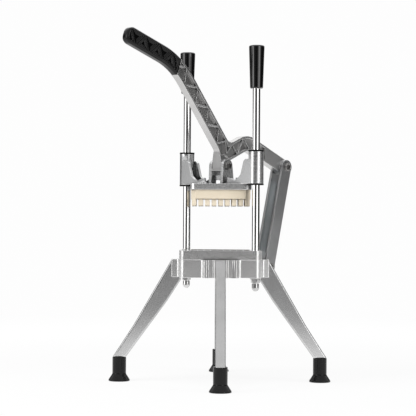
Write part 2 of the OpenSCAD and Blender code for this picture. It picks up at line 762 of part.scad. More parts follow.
module lever_arm() color("dimgray")
    translate([0, 0, pivot_z]) difference() {
        union() {
            side_plate(lever_t) difference() {
                lever_outline();
                grip_zone();
            }
            side_plate(tang_t) intersection() {
                polygon(bar_outline(tang_track, tang_depth / 2, tang_depth / 2));
                grip_zone();
            }
            side_plate(hub_w) circle(hub_r);
            lever_heel();
            side_plate(end_boss_w) translate(link_pivot) circle(end_boss_r);
        }
        both_sides(lever_t, pocket_depth) lever_pockets();
        both_sides(lever_t, hub_recess) difference() {
            circle(hub_rim_r - hub_rim_w);
            circle(hub_r);
            translate([-2 * hub_rim_r, -2 * hub_rim_r])
                square([2 * hub_rim_r + knee_y - lever_depth / 2 + rim_w, 4 * hub_rim_r]);
        }
        rotate([0, 90, 0]) translate([0, 0, -hub_w]) cylinder(r = pin_r + run_gap, h = 2 * hub_w);
        translate([0, link_pivot_y, link_pivot_up]) rotate([0, 90, 0]) translate([0, 0, -end_boss_w])
            cylinder(r = pin_r + run_gap, h = 2 * end_boss_w);
    }

// Moulded grip that covers the lever's tang
grip_track = track([knee, bend, grip_end], [bend_r]);
tang_track = track([knee, bend, grip_end - grip_dir * tang_end_gap], [bend_r]);
tang_hole_track = track([knee, bend, grip_end - grip_dir * (tang_end_gap - seat_gap)], [bend_r]);

bend_reach = bend_r * tan((arm_slope - grip_slope) / 2);
grip_rib_nodes = [for (k = [0:2 * grip_rib_count - 1])
    let (run = grip_rib_first + grip_rib_pitch * k / 2, sag = pow(max(bend_reach - run, 0), 2) / bend_r / 2)
    bend + grip_dir * run
        + left_of(grip_dir) * (sag + (k % 2 == 0 ? 1 : -1) * (grip_depth / 2 - rim_w / 2))];

module grip_outline(inset) {
    intersection() {
        polygon(bar_outline(grip_track, grip_depth / 2 - inset, grip_depth / 2 - inset));
        grip_zone(inset);
        translate(bend) rotate([0, 0, -grip_slope]) {
            polygon(rounded([[-grip_run + inset, -grip_depth / 2 + inset],
                             [grip_run, -grip_depth / 2 + inset], [grip_run, grip_depth / 2 - inset],
                             [-grip_run + inset, grip_depth / 2 - inset]],
                            [grip_end_r - inset, 0, 0, grip_end_r - inset]));
            translate([-bend_reach - grip_end_r, -grip_run]) square([2 * grip_run, 2 * grip_run]);
        }
    }
}

module lever_grip() color("black")
    translate([0, 0, pivot_z]) difference() {
        side_plate(grip_t) grip_outline(0);
        side_plate(tang_t + 2 * seat_gap)
            polygon(bar_outline(tang_hole_track, tang_depth / 2 + seat_gap, tang_depth / 2 + seat_gap));
        both_sides(grip_t, grip_pocket_depth) difference() {
            grip_outline(rim_w);
            zigzag(grip_rib_nodes, rib_w);
        }
    }

// Pivot bolt along +X with a socket head, its shank reaching from the head's face
module pivot_bolt(span, tail) {
    difference() {
        translate([span / 2, 0, 0]) rotate([0, 90, 0]) cylinder(d = pin_head_d, h = pin_head_h);
        translate([span / 2 + pin_head_h - pin_socket_depth, 0, 0]) rotate([0, 90, 0])
            hex_prism(pin_socket_d, pin_head_h);
    }
    translate([-span / 2 - tail, 0, 0]) rotate([0, 90, 0])
        cylinder(r = pin_r, h = span + tail + (pin_head_h - pin_socket_depth) / 2);
}

module pivot_nut(span) {
    translate([-span / 2 - pin_nut_h, 0, 0]) rotate([0, 90, 0]) difference() {
        hex_prism(pin_nut_d, pin_nut_h);
        translate([0, 0, -cut_over]) cylinder(r = pin_r + seat_gap, h = pin_nut_h + 2 * cut_over);
    }
}

ear_span = ear_gap + 2 * ear_t;
head_pivot_place = [0, 0, pivot_z];
link_pivot_place = [0, link_pivot_y, link_pivot_z];
base_pivot_place = [0, base_pivot_y, base_pivot_z];

module lever_pivot_bolt() color("gray") translate(head_pivot_place) pivot_bolt(ear_span, pin_tail);
module lever_pivot_nut() color("gray") translate(head_pivot_place) pivot_nut(ear_span);
module link_upper_bolt() color("gray") translate(link_pivot_place) pivot_bolt(link_w, pin_tail);
module link_upper_nut() color("gray") translate(link_pivot_place) pivot_nut(link_w);
module link_lower_bolt() color("gray") translate(base_pivot_place) pivot_bolt(link_w, pin_tail);
module link_lower_nut() color("gray") translate(base_pivot_place) pivot_nut(link_w);

// Link: a channel open to the front, drawn hanging down from the upper pivot and then leaned
module link_profile() {
    translate([-link_depth / 2, -link_len]) square([link_depth, link_len]);
    for (z = [0, -link_len]) translate([0, z]) circle(link_ear_r);
}

module link_arm() color("darkgray")
    translate(link_pivot_place) rotate([-link_lean, 0, 0]) difference() {
        side_plate(link_w) link_profile();
        translate([-link_gap / 2, -link_depth, -link_len - 2 * link_ear_r])
            cube([link_gap, link_depth + link_depth / 2 - link_web_t, link_len + 4 * link_ear_r]);
        translate([-link_gap / 2, -link_depth, -link_web_top]) cube([link_gap, 2 * link_depth, link_len]);
        translate([-link_gap / 2, -link_depth, link_web_foot - 2 * link_len])
            cube([link_gap, 2 * link_depth, link_len]);
        for (z = [0, -link_len]) translate([-link_w, 0, z]) rotate([0, 90, 0])
            cylinder(r = pin_r + seat_gap, h = 2 * link_w);
    }

base_casting();
front_left_leg();
front_right_leg();
rear_left_leg();
rear_right_leg();
front_left_foot();
front_right_foot();
rear_left_foot();
rear_right_foot();
leg_bolts();
blade_frame();
upper_blades();
lower_blades();
blade_frame_screws();
left_guide_rod();
right_guide_rod();
left_rod_grip();
right_rod_grip();
rod_washers();
rod_nuts();
head_casting();
upper_bushings();
lower_bushings();
sleeve_set_screws();
push_block();
push_block_screws();
lever_arm();
lever_grip();
lever_pivot_bolt();
lever_pivot_nut();
link_arm();
link_upper_bolt();
link_upper_nut();
link_lower_bolt();
link_lower_nut();
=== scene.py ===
import math

import bmesh
import bpy
import numpy as np
from mathutils import Matrix, Vector


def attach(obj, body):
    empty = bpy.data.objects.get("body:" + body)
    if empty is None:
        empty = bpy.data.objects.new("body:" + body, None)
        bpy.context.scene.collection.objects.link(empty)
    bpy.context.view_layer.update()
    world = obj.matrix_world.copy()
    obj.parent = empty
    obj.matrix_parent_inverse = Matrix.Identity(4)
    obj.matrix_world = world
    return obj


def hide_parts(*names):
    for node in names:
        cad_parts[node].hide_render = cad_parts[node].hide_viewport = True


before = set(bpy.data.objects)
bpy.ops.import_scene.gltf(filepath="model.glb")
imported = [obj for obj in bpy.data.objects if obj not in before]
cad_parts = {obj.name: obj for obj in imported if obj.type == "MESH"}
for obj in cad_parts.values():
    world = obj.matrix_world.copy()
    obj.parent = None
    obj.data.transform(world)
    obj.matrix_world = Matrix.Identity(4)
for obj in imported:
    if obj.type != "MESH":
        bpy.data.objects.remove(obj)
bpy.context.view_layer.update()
mm = 0.001

# camera: stands on the diagonal of the machine, level with the gap above the blades, with a long lens
camera = {
    "azimuth": 45,          # degrees, as are pitch and roll
    "distance": 2.2,
    "height": 0.231,
    "aside": -0.0182,       # the machine stands right of the picture's middle
    "pitch": 0.53,
    "roll": 0.37,
    "lens": 131.1,
    "sensor": 36,
    "sight": (0.05, 60),    # nearest and farthest distance that it sees
}


def placeCamera(spec):
    turn, pitch, roll = (math.radians(spec[key]) for key in ("azimuth", "pitch", "roll"))
    back = np.array([math.sin(turn), -math.cos(turn), 0])
    right = np.array([math.cos(turn), math.sin(turn), 0])
    up = np.array([0, 0, 1.0])
    backward = back * math.cos(pitch) - up * math.sin(pitch)
    upward = up * math.cos(pitch) + back * math.sin(pitch)
    side = right * math.cos(roll) + upward * math.sin(roll)
    top = upward * math.cos(roll) - right * math.sin(roll)
    data = bpy.data.cameras.new("camera")
    data.lens = spec["lens"]
    data.sensor_width = spec["sensor"]
    data.clip_start, data.clip_end = spec["sight"]
    seat = bpy.data.objects.new("camera", data)
    place = back * spec["distance"] + right * spec["aside"] + up * spec["height"]
    seat.matrix_world = Matrix([[*row, at] for row, at in zip(np.array([side, top, backward]).T, place)]
                               + [[0, 0, 0, 1]])
    bpy.context.scene.collection.objects.link(seat)
    bpy.context.scene.camera = seat


placeCamera(camera)
print("camera placed")


# shader maths
class Field:
    # One output socket; sums, differences and products of fields add Math nodes
    def __init__(self, graph, socket):
        self.graph = graph
        self.socket = socket

    def math(self, operation, *others):
        return self.graph.number("Math", {"operation": operation}, self, *others)

    def __add__(self, other):
        return self.math("ADD", other)

    def __mul__(self, other):
        return self.math("MULTIPLY", other)

    def __sub__(self, other):
        return self.math("SUBTRACT", other)

    def __rsub__(self, other):
        return self.graph.number("Math", {"operation": "SUBTRACT"}, other, self)

    __radd__ = __add__
    __rmul__ = __mul__

    def between(self, low, high):
        # 0 below low, 1 above high, with a smooth step between
        return self.graph.number("MapRange", {"interpolation_type": "SMOOTHSTEP"}, self, low, high, 0.0, 1.0)


class Graph:
    def __init__(self, tree):
        self.tree = tree
        tree.nodes.clear()

    def node(self, kind, settings, *values, **named):
        # Settings first, then values or links by position or by the socket's name
        made = self.tree.nodes.new("ShaderNode" + kind)
        for key, value in settings.items():
            if key == "stops":
                ramp = made.color_ramp.elements         # already holds a stop at 0 and one at 1
                for at, _ in value[1:-1]:
                    ramp.new(at)
                for stop, (_, shade) in zip(ramp, value):
                    stop.color = (shade, shade, shade, 1)
            else:
                setattr(made, key, value)
        pairs = list(enumerate(values)) + [(key.replace("_", " "), value) for key, value in named.items()]
        for key, value in pairs:
            if isinstance(value, Field):
                self.tree.links.new(value.socket, made.inputs[key])
            else:
                made.inputs[key].default_value = value
        return made

    def number(self, kind, settings, *values, **named):
        return Field(self, self.node(kind, settings, *values, **named).outputs[0])

    def out(self, kind, settings, output, *values, **named):
        return Field(self, self.node(kind, settings, *values, **named).outputs[output])

    def place(self, scale=(1, 1, 1)):
        here = self.out("TexCoord", {}, "Object")
        return self.out("Mapping", {}, "Vector", here, Scale=scale)

    def noise(self, place, scale, detail=2.0, rough=0.5):
        return self.out("TexNoise", {}, "Fac", place, Scale=scale, Detail=detail, Roughness=rough)

    def axes(self, vector):
        made = self.node("SeparateXYZ", {}, vector)
        return [Field(self, made.outputs[i]) for i in range(3)]

    def rays(self, *names):
        made = self.node("LightPath", {})
        return [Field(self, made.outputs[name]) for name in names]

    def tint(self, factor, first, second):
        # Blend of two colours, which are sockets 6 and 7 of the node
        made = self.node("Mix", {"data_type": "RGBA"}, factor)
        for slot, value in ((6, first), (7, second)):
            if isinstance(value, Field):
                self.tree.links.new(value.socket, made.inputs[slot])
            else:
                made.inputs[slot].default_value = (*value, 1)
        return Field(self, made.outputs[2])


def material(name):
    made = bpy.data.materials.new(name)
    made.use_nodes = True
    return made, Graph(made.node_tree)


def grey(level, warm=0.0):
    return (level * (1 + warm), level, level * (1 - warm))


# finishes; the scales of all patterns are per metre, and a step is where a pattern begins and is full
texture = {
    "bevelSamples": 8,
    "edgeMaskStep": (0.004, 0.12),          # in 1 - cos of the angle that the rounded normal leans
    "edgeHighlightPale": 1.6, "edgeHighlightPalest": 0.95, "wearGloss": 0.5,
    "blotches": 38.0, "wideBlotches": 9.0, "blotchStep": (0.32, 0.68),
    "pitScale": 0.37,               # as a share of the grain's scale
    "pitStep": (0.56, 0.72), "pitDark": 0.55,
    "cornerSamples": 10, "cornerShadeStep": (0.12, 0.8), "cornerShadeDark": 0.12,
    "uprightStep": (0.1, 0.3), "litBelowGrey": 0.95,
    "sideStep": (0.6, 0.9), "crestPale": 0.9,
    "smears": 45.0, "smearStep": (0.35, 0.7), "smearGloss": 0.4, "streakBump": 0.12, "streakDepth": 0.02,
    "wornPatches": 30.0, "wornStep": (0.35, 0.7), "wornGloss": 0.04, "plasticEdgeHighlight": 0.3,
    "grainBump": 0.7, "pitBump": 0.5, "grainDepth": 0.05,
}


def roundedEdges(g, reach):
    # The normal as if edges were rounded, and a mask that is 1 on the edges
    soft = g.out("Bevel", {"samples": texture["bevelSamples"]}, "Normal", reach * mm)
    face = g.out("NewGeometry", {}, "Normal")
    along = g.out("VectorMath", {"operation": "DOT_PRODUCT"}, "Value", soft, face)
    return soft, (1 - along).between(*texture["edgeMaskStep"])


def castMetal(name, spec):
    # Sand-cast aluminium: fine pits and soft blotches, with a painted highlight on the edges and painted
    # shade in the corners
    made, g = material(name)
    here = g.place()
    face = g.out("NewGeometry", {}, "Normal")
    soft, edgeWearAndHighlight = roundedEdges(g, spec["edge"])
    grain = g.noise(here, spec["grain"], detail=3.0, rough=0.65)
    pits = g.noise(here, spec["grain"] * texture["pitScale"], rough=0.6)
    small = g.noise(here, texture["blotches"], detail=3.0)
    wide = g.noise(here, texture["wideBlotches"], detail=1.0)
    shade = (small * 0.5 + wide * 0.5).between(*texture["blotchStep"])
    colour = g.tint(shade, grey(spec["dark"], spec["warm"]), grey(spec["light"], spec["warm"]))
    colour = g.tint(pits.between(*texture["pitStep"]) * spec["pits"], colour,
                    grey(spec["dark"] * texture["pitDark"]))
    if "pale" in spec:
        # painted light: upright faces are painted paler below a height
        low, high, amount = spec["pale"]
        upright = 1 - g.axes(face)[2].math("ABSOLUTE").between(*texture["uprightStep"])
        below = 1 - g.axes(here)[2].between(low * mm, high * mm)
        colour = g.tint(below * upright * amount, colour, grey(texture["litBelowGrey"]))
    # painted shade: corners and recesses that ambient occlusion finds are painted darker
    clear = g.out("AmbientOcclusion", {"samples": texture["cornerSamples"]}, "AO",
                  Distance=spec["reach"] * mm)
    colour = g.tint((1 - clear).between(*texture["cornerShadeStep"]) * spec["dull"], colour,
                    grey(spec["dark"] * texture["cornerShadeDark"]))
    if "crest" in spec:
        # painted highlight: the raised edges and ribs of the sides are painted paler than their pockets,
        # which stay darker as in shade
        low, high, amount = spec["crest"]
        raised = g.axes(here)[0].math("ABSOLUTE").between(low * mm, high * mm)
        sideways = g.axes(face)[0].math("ABSOLUTE").between(*texture["sideStep"])
        colour = g.tint(raised * sideways * amount, colour, grey(texture["crestPale"]))
    # painted highlight: the edges are painted paler; the same edge mask also makes them glossier, as wear
    # does
    colour = g.tint(edgeWearAndHighlight * spec["rub"], colour,
                    grey(min(spec["light"] * texture["edgeHighlightPale"], texture["edgeHighlightPalest"])))
    metal = 1.0
    if "channel" in spec:
        # painted light: the inside of the channel is painted a pale matt grey instead of metal, so that it
        # reads as lit
        low, high, litLining = spec["channel"]
        metal = g.axes(here)[0].math("ABSOLUTE").between(low * mm, high * mm)
        colour = g.tint(metal, litLining, colour)
    rough = spec["rough"] + (grain - 0.5) * spec["spread"] - edgeWearAndHighlight * (spec["rough"] * texture["wearGloss"])
    bump = g.out("Bump", {}, "Normal", spec["bump"], spec["depth"] * mm,
                 Height=grain * texture["grainBump"] + pits * texture["pitBump"], Normal=soft)
    shader = g.out("BsdfPrincipled", {}, "BSDF", colour, metal, rough, Normal=bump)
    g.node("OutputMaterial", {}, Surface=shader)
    return made


def polishedMetal(name, spec):
    # Ground and plated metal: fine marks in the gloss, drawn out along the axis where streak is least
    made, g = material(name)
    streak = g.noise(g.place(spec["streak"]), 1.0)
    smear = g.noise(g.place(), texture["smears"])
    colour = g.tint(smear.between(*texture["smearStep"]), grey(spec["dark"], spec["warm"]),
                    grey(spec["light"], spec["warm"]))
    rough = spec["rough"] + streak * spec["spread"] + smear * (spec["spread"] * texture["smearGloss"])
    bump = g.out("Bump", {}, "Normal", texture["streakBump"], texture["streakDepth"] * mm, Height=streak)
    shader = g.out("BsdfPrincipled", {}, "BSDF", colour, 1.0, rough, Normal=bump)
    g.node("OutputMaterial", {}, Surface=shader)
    return made


def mouldedPlastic(name, spec):
    # Moulded plastic or rubber: a fine satin grain, worn a little smoother in places, with a painted
    # highlight on the edges where asked
    made, g = material(name)
    here = g.place()
    grain = g.noise(here, spec["grain"], rough=0.6)
    worn = g.noise(here, texture["wornPatches"]).between(*texture["wornStep"])
    colour = g.tint(worn, spec["colour"], spec["second"])
    rough = spec["rough"] + (grain - 0.5) * spec["spread"] - worn * texture["wornGloss"]
    soft, edgeWearAndHighlight = roundedEdges(g, spec["edge"])
    # painted highlight: the edges are painted paler
    if "rub" in spec:
        colour = g.tint(edgeWearAndHighlight * spec["rub"], colour, grey(texture["plasticEdgeHighlight"]))
    bump = g.out("Bump", {}, "Normal", spec["bump"], texture["grainDepth"] * mm, Height=grain, Normal=soft)
    shader = g.out("BsdfPrincipled", {}, "BSDF", colour, 0.0, rough, Normal=bump,
                   **{"Specular IOR Level": spec["gloss"]})
    g.node("OutputMaterial", {}, Surface=shader)
    return made


# dark, light: the two greys of the blotches; edge, reach, depth: millimetres; rub, dull: how strong the
# painted highlight on the edges and the painted shade in the corners are; spread: how much the roughness
# varies
finishSpecs = {
    "castBase": (castMetal, {
        "dark": 0.73, "light": 0.81, "warm": 0.004, "grain": 1500.0, "pits": 0.12, "rub": 0.4,
        "edge": 0.9, "reach": 8.0, "dull": 0.7, "rough": 0.24, "spread": 0.04, "bump": 0.06, "depth": 0.05}),
    "castLegs": (castMetal, {
        "dark": 0.48, "light": 0.56, "warm": 0.0, "grain": 1700.0, "pits": 0.10, "rub": 0.25,
        "pale": (38.0, 110.0, 0.35),
        "edge": 0.8, "reach": 10.0, "dull": 0.4, "rough": 0.26, "spread": 0.12, "bump": 0.2, "depth": 0.08}),
    "castFrame": (castMetal, {
        "dark": 0.66, "light": 0.76, "warm": 0.006, "grain": 1500.0, "pits": 1.0, "rub": 0.35,
        "edge": 0.9, "reach": 9.0, "dull": 1.0, "rough": 0.25, "spread": 0.3, "bump": 0.5, "depth": 0.12}),
    "castHead": (castMetal, {
        "dark": 0.60, "light": 0.70, "warm": -0.004, "grain": 1500.0, "pits": 0.14, "rub": 0.4,
        "pale": (286.0, 286.5, 1.0),
        "edge": 0.8, "reach": 14.0, "dull": 1.0, "rough": 0.27, "spread": 0.2, "bump": 0.3, "depth": 0.10}),
    "castLever": (castMetal, {
        "dark": 0.47, "light": 0.55, "warm": 0.008, "grain": 1500.0, "pits": 0.05, "rub": 0.10,
        "crest": (4.6, 5.4, 0.5),
        "edge": 0.7, "reach": 4.5, "dull": 0.8, "rough": 0.30, "spread": 0.1, "bump": 0.15, "depth": 0.05}),
    "castLink": (castMetal, {
        "dark": 0.37, "light": 0.46, "warm": -0.008, "grain": 1700.0, "pits": 0.12, "rub": 0.7,
        "channel": (7.6, 7.7, (0.86, 0.92, 0.95)),
        "edge": 0.7, "reach": 10.0, "dull": 0.4, "rough": 0.32, "spread": 0.2, "bump": 0.25, "depth": 0.10}),
    "chrome": (polishedMetal, {
        "dark": 0.80, "light": 0.88, "warm": 0.006, "rough": 0.05, "spread": 0.05,
        "streak": (2500, 2500, 30)}),
    "nutChrome": (polishedMetal, {
        "dark": 0.52, "light": 0.66, "warm": 0.004, "rough": 0.08, "spread": 0.08,
        "streak": (400, 400, 400)}),
    "blade": (polishedMetal, {
        "dark": 0.55, "light": 0.66, "warm": 0.0, "rough": 0.18, "spread": 0.2,
        "streak": (120, 120, 3000)}),
    "steel": (polishedMetal, {
        "dark": 0.48, "light": 0.62, "warm": 0.004, "rough": 0.20, "spread": 0.15,
        "streak": (900, 900, 900)}),
    "boltSteel": (polishedMetal, {
        "dark": 0.24, "light": 0.36, "warm": 0.02, "rough": 0.20, "spread": 0.15,
        "streak": (900, 900, 900)}),
    "blackGrip": (mouldedPlastic, {
        "colour": (0.0015, 0.0015, 0.0016), "second": (0.003, 0.003, 0.0032), "grain": 1500.0,
        "rough": 0.10, "spread": 0.05, "gloss": 0.8, "bump": 0.03, "edge": 0.6}),
    "blackBush": (mouldedPlastic, {
        "colour": (0.003, 0.003, 0.003), "second": (0.005, 0.005, 0.005), "grain": 1200.0,
        "rough": 0.5, "spread": 0.18, "gloss": 0.2, "bump": 0.1, "edge": 0.3}),
    "rubber": (mouldedPlastic, {
        "colour": (0.004, 0.004, 0.0045), "second": (0.008, 0.008, 0.008), "grain": 900.0,
        "rough": 0.18, "spread": 0.18, "gloss": 0.22, "bump": 0.10, "edge": 0.5}),
    "leverBlack": (mouldedPlastic, {
        "colour": (0.0015, 0.0015, 0.0016), "second": (0.003, 0.003, 0.0032), "grain": 1300.0,
        "rough": 0.16, "spread": 0.06, "gloss": 0.3, "bump": 0.04, "edge": 0.8, "rub": 0.9}),
    "cream": (mouldedPlastic, {
        "colour": (0.85, 0.75, 0.585), "second": (0.89, 0.79, 0.63), "grain": 700.0,
        "rough": 0.42, "spread": 0.18, "gloss": 0.4, "bump": 0.06, "edge": 1.2}),
}
finishes = {name: make(name, spec) for name, (make, spec) in finishSpecs.items()}

# the nodes that are kept as they are; all others are replaced below
nodeFinishes = {
    "chrome": ["left_guide_rod", "right_guide_rod"],
    "blade": ["upper_blades", "lower_blades"],
    "steel": ["rod_washers"],
    "blackBush": ["upper_bushings", "lower_bushings", "sleeve_set_screws"],
    "cream": ["push_block"],
}
for finish, names in nodeFinishes.items():
    for name in names:
        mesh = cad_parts[name].data
        mesh.materials.clear()
        mesh.materials.append(finishes[finish])
print("finishes made")


# surfaces, in millimetres until a piece is made
def closedSweep(points):
    # points[i, j]: ring i, place j on the ring; each four neighbours make a face, and the first and
    # last rings are covered
    rows, cols = points.shape[:2]
    i = np.arange(rows - 1)[:, None]
    j = np.arange(cols)[None, :]
    after = (j + 1) % cols
    corners = np.broadcast_arrays(i * cols + j, (i + 1) * cols + j, (i + 1) * cols + after, i * cols + after)
    sides = np.stack(corners, -1).reshape(-1, 4).tolist()
    lids = [list(range(cols))[::-1], list(range((rows - 1) * cols, rows * cols))]
    return points.reshape(-1, 3), sides + lids


straight = 0.01         # radians: a corner that turns less is left alone
leastMitre = 0.35       # smallest 1 + n1.n2, which keeps the offset of a sharp corner short
pastAxis = -99          # a radius well past the axis, to close a lathe's profile
smoothTurn = 72         # steps round a turned piece, a head or a nut


def roundCorners(corners, radii, steps):
    # Each corner B between A and C becomes the arc centre + r (cos a, sin a) that touches both sides
    corners = np.asarray(corners, float)
    done = []
    for before, corner, after, radius in zip(np.roll(corners, 1, 0), corners, np.roll(corners, -1, 0), radii):
        came, goes = corner - before, after - corner
        came, goes = came / np.linalg.norm(came), goes / np.linalg.norm(goes)
        turn = math.atan2(came[0] * goes[1] - came[1] * goes[0], came @ goes)
        if radius == 0 or abs(turn) < straight:
            done.append(corner[None])
            continue
        side = math.copysign(1, turn)
        inward = np.array([-came[1], came[0]]) * side
        centre = corner - came * radius * math.tan(abs(turn) / 2) + inward * radius
        bearing = math.atan2(-inward[1], -inward[0]) + turn * np.linspace(0, 1, steps)
        done.append(centre + radius * np.stack([np.cos(bearing), np.sin(bearing)], 1))
    return np.concatenate(done)


def mitres(outline):
    # Outward offset of one unit at each point: (n1 + n2) / (1 + n1.n2)
    ahead = np.roll(outline, -1, 0) - outline
    ahead = ahead / np.linalg.norm(ahead, axis=1)[:, None]
    before = np.roll(ahead, 1, 0)
    n1, n2 = (np.stack([way[:, 1], -way[:, 0]], 1) for way in (before, ahead))
    return (n1 + n2) / np.maximum(1 + (n1 * n2).sum(1), leastMitre)[:, None]


def edgeProfile(half, edge, steps=7):
    # (inset, height) up a wall from -half to half, with a quarter round at both ends: the inset is
    # r (1 - sin a) going up, r (1 - cos a) at the top
    a = np.linspace(0, math.pi / 2, steps)
    up = np.stack([edge * (1 - np.sin(a)), -half + edge * (1 - np.cos(a))], 1)
    down = np.stack([edge * (1 - np.cos(a)), half - edge * (1 - np.sin(a))], 1)
    return np.concatenate([up, down])


def carry(outline, profile, soft):
    # P(i, j) = outline(j) - mitre(j) * inset(i) * soft(j), at height(i), round the outline to the left
    x, y = outline.T
    if (x * np.roll(y, -1)).sum() < (y * np.roll(x, -1)).sum():
        outline = outline[::-1]
    share = soft(outline)[:, None]
    flat = outline[None] - (mitres(outline) * share)[None] * profile[:, 0, None, None]
    height = np.broadcast_to(profile[:, 1, None, None], (*flat.shape[:2], 1))
    return closedSweep(np.concatenate([flat, height], -1))


def around(r, z, turn):
    # P(i, j) = (r(i, j) cos a(j), r(i, j) sin a(j), z(i))
    return closedSweep(np.stack(np.broadcast_arrays(r * np.cos(turn), r * np.sin(turn), z), -1))


def lathe(profile, steps):
    # The profile's radii and heights, turned about the axis
    r, z = np.asarray(profile, float).T[:, :, None]
    return around(r, z, np.arange(steps) * 2 * math.pi / steps)


def bead(points, radii, steps=5):
    # Open profile with its corners rounded, for a lathe
    points = np.asarray(points, float)
    loop = roundCorners(np.concatenate([points, [[pastAxis, points[-1, 1]], [pastAxis, points[0, 1]]]]),
                        [*radii, 0, 0], steps)
    return loop[:-2]


def hexRadius(flats, turn):
    # Distance to a hexagon's side: half the width over flats, over cos of the angle from the side's middle
    return flats / 2 / np.cos((turn + math.pi / 6) % (math.pi / 3) - math.pi / 6)


headShape = {
    "edgeSteps": 5,
    "mouth": 0.62,          # radius of the ring round a socket, as a share of its width over flats
    "chamfer": 0.35,        # drop from that ring to the socket's wall
}
nutShape = {
    "endFace": 0.95,        # radius of a nut's end face, as a share of half its width over flats
    "rings": [0, 0.2, 0.5, 1],          # heights of its rings, from either end
}


def boltHead(spec):
    # Rings from the outer edge in: a wall, a quarter round r (1 - cos a), r (1 - sin a), and a flat top
    # whose socket follows hexRadius instead of a circle
    turn = np.arange(smoothTurn) * 2 * math.pi / smoothTurn
    half, height, edge, socket = spec["width"] / 2, spec["height"], spec["edge"], spec["socket"]
    a = np.linspace(0, math.pi / 2, headShape["edgeSteps"])
    circles = np.concatenate([[half], half - edge * (1 - np.cos(a)), [socket * headShape["mouth"]]])
    r = np.concatenate([circles[:, None] * np.ones(smoothTurn), np.tile(hexRadius(socket, turn), (2, 1))])
    z = np.concatenate([[0], height - edge * (1 - np.sin(a)),
                        [height, height - headShape["chamfer"], height - spec["depth"]]])
    return around(r, z[:, None], turn)


def hexNut(flats, high):
    # r = the smaller of the hexagon and a cone that takes the corners off at both ends
    turn = np.arange(smoothTurn) * 2 * math.pi / smoothTurn
    low = np.array(nutShape["rings"])
    z = np.concatenate([low, high - low[::-1]])[:, None]
    narrow, corner = flats / 2 * nutShape["endFace"], flats / 2 / math.cos(math.pi / 6)
    cone = narrow + (corner - narrow) * np.sqrt(np.minimum(z, high - z)).clip(0, 1)
    return around(np.minimum(hexRadius(flats, turn)[None], cone), z, turn)


def put(part, basis=np.eye(3), at=(0, 0, 0)):
    # Local axes a, b, h are the rows of basis
    return part[0] @ np.asarray(basis, float) + np.asarray(at, float), part[1]


def standing(angle):
    # Axes of an upright plate: out along the bearing, up, and across
    c, s = math.cos(math.radians(angle)), math.sin(math.radians(angle))
    return np.array([[c, s, 0], [0, 0, 1], [s, -c, 0]])


downward = np.array([[1, 0, 0], [0, -1, 0], [0, 0, -1]])
across = np.array([[0, 1, 0], [0, 0, 1], [1, 0, 0]])            # a = Y, b = Z, h = X
backAcross = np.array([[0, 0, 1], [0, 1, 0], [-1, 0, 0]])       # a = Z, b = Y, h = -X


def dress(mesh, name, body, finish, replaced, sharp=35):
    # Smooth shading that keeps edges sharper than so many degrees, then the piece's finish, body and nodes
    mesh.shade_smooth()
    mesh.set_sharp_from_angle(angle=math.radians(sharp))
    mesh.materials.clear()
    mesh.materials.append(finishes[finish])
    piece = bpy.data.objects.new(name, mesh)
    bpy.context.scene.collection.objects.link(piece)
    weighted = piece.modifiers.new("evenShading", "WEIGHTED_NORMAL")
    weighted.keep_sharp = True
    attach(piece, body)
    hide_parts(*replaced)


def makePiece(name, parts, body, slotName, finish, *replaced, sharp=35):
    # The parts' points and faces joined in one mesh
    starts = np.cumsum([0] + [len(points) for points, _ in parts])
    faces = [[start + i for i in face] for start, (_, group) in zip(starts.tolist(), parts) for face in group]
    mesh = bpy.data.meshes.new(name)
    mesh.from_pydata(np.concatenate([points for points, _ in parts]) * mm, [], faces)
    work = bmesh.new()
    work.from_mesh(mesh)
    bmesh.ops.remove_doubles(work, verts=work.verts, dist=0.002 * mm)
    bmesh.ops.recalc_face_normals(work, faces=work.faces)
    work.to_mesh(mesh)
    work.free()
    dress(mesh, name, body, finish, replaced, sharp)


soften = {
    "merge": 0.004,         # millimetres: nearer corners are one
    "level": 0.5,           # degrees: faces that turn less are joined
    "corner": 22,           # degrees: an edge that turns less isn't rounded
    "segments": 3,
}


def softenNode(name, node, body, slotName, finish, width, chosen, shaped=None):
    # A copy of the node with its corners rounded: chosen takes the edges' middles and face angles,
    # and shaped moves the places of its corners first
    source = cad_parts[node].data.copy()
    if shaped:
        places = np.empty(len(source.vertices) * 3)
        source.vertices.foreach_get("co", places)
        source.vertices.foreach_set("co", (shaped(places.reshape(-1, 3) / mm) * mm).ravel())
    work = bmesh.new()
    work.from_mesh(source)
    bpy.data.meshes.remove(source)
    bmesh.ops.remove_doubles(work, verts=work.verts, dist=soften["merge"] * mm)
    bmesh.ops.dissolve_limit(work, angle_limit=math.radians(soften["level"]), verts=work.verts,
                             edges=work.edges)
    edges = [edge for edge in work.edges if len(edge.link_faces) == 2]
    middles = np.array([(edge.verts[0].co + edge.verts[1].co) / 2 for edge in edges]) / mm
    turns = np.degrees([edge.calc_face_angle_signed(0) for edge in edges])
    wanted = chosen(middles, turns) & (np.abs(turns) > soften["corner"])
    picked = [edge for edge, take in zip(edges, wanted) if take]
    bmesh.ops.bevel(work, geom=picked, offset=width * mm, offset_type="OFFSET",
                    segments=soften["segments"], profile=0.5, affect="EDGES", clamp_overlap=True,
                    miter_outer="SHARP")
    bmesh.ops.recalc_face_normals(work, faces=work.faces)
    mesh = bpy.data.meshes.new(name)
    work.to_mesh(mesh)
    work.free()
    dress(mesh, name, body, finish, (node,))


